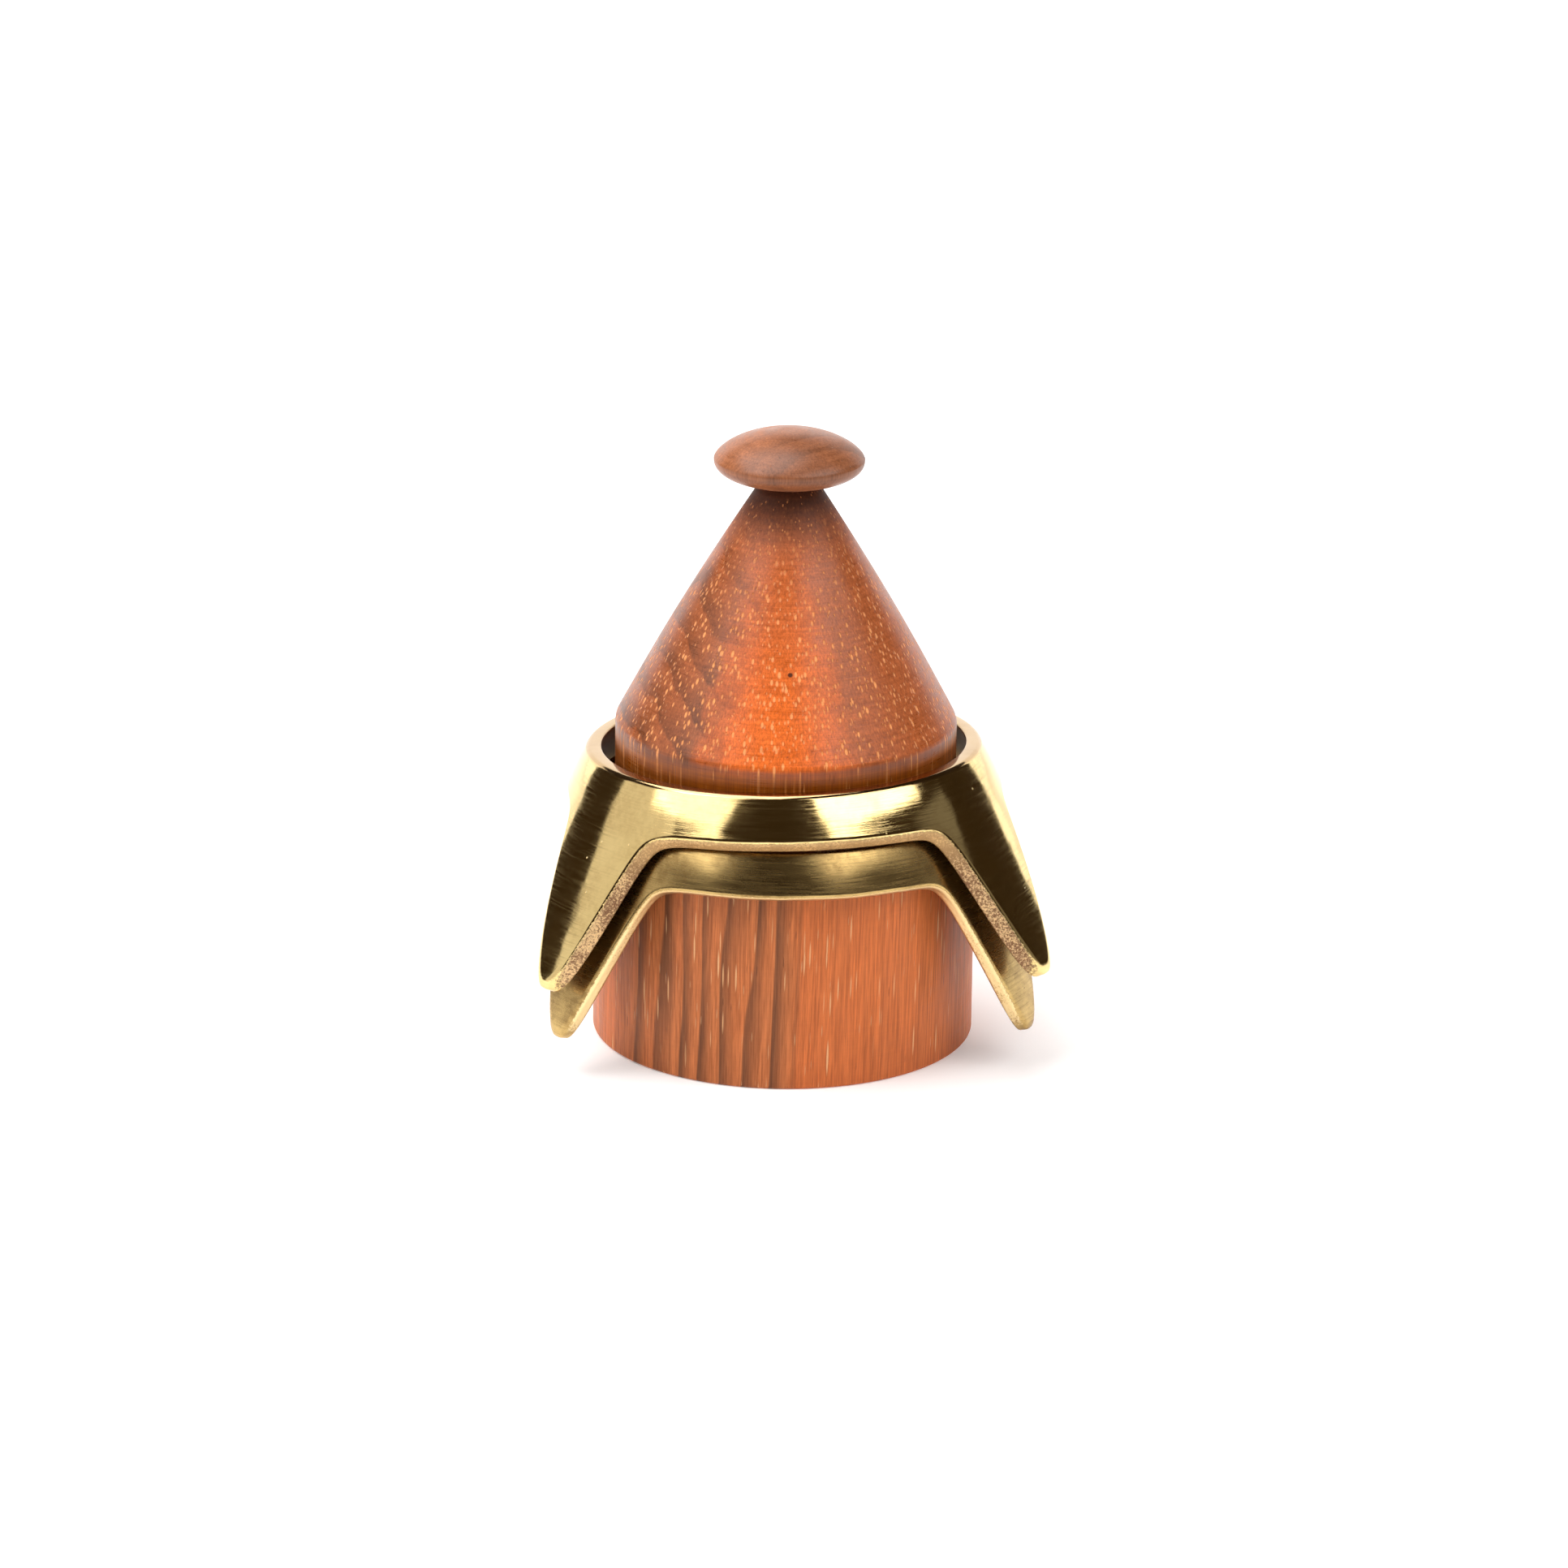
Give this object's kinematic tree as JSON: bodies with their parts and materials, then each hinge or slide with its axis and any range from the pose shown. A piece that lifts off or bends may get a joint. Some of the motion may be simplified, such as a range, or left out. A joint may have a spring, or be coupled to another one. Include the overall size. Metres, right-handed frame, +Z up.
{
  "type": "salt pot with egg cups",
  "caption": "Turned hardwood pot with a conical knobbed lid, carrying nested three-legged cast brass egg cups.",
  "frame": {"origin": "centre of the pot's flat underside, on the surface it stands on", "axes": "+Z up along the pot's turned axis; -Y towards the viewer, between the two front legs of the cups; +X to the viewer's right"},
  "size_m": [0.0586, 0.0579, 0.0715],
  "materials": {
    "pot_wood": "satin oiled teak, dark stripes down the grain",
    "lid_wood": "satin oiled teak with pale flecks",
    "knob_wood": "polished browner teak",
    "lower_brass": "polished cast brass with dark tarnish and filed golden edges",
    "upper_brass": "polished cast brass with fine scratches and rough oxidised edges"
  },
  "bodies": {
    "pot": {"pot": "pot_wood"},
    "lid": {"lid": "lid_wood", "knob": "knob_wood"},
    "lower_cup": {"lower_egg_cup": "lower_brass"},
    "upper_cup": {"upper_egg_cup": "upper_brass"}
  },
  "joints": [
    {"name": "lid_lift", "type": "slide", "parent": "pot", "child": "lid", "axis": [0, 0, 1], "range_m": [0, 0.04]},
    {"name": "lower_cup_lift", "type": "slide", "parent": "pot", "child": "lower_cup", "axis": [0, 0, 1], "range_m": [0, 0.075]},
    {"name": "upper_cup_lift", "type": "slide", "parent": "lower_cup", "child": "upper_cup", "axis": [0, 0, 1], "range_m": [0, 0.07]}
  ]
}
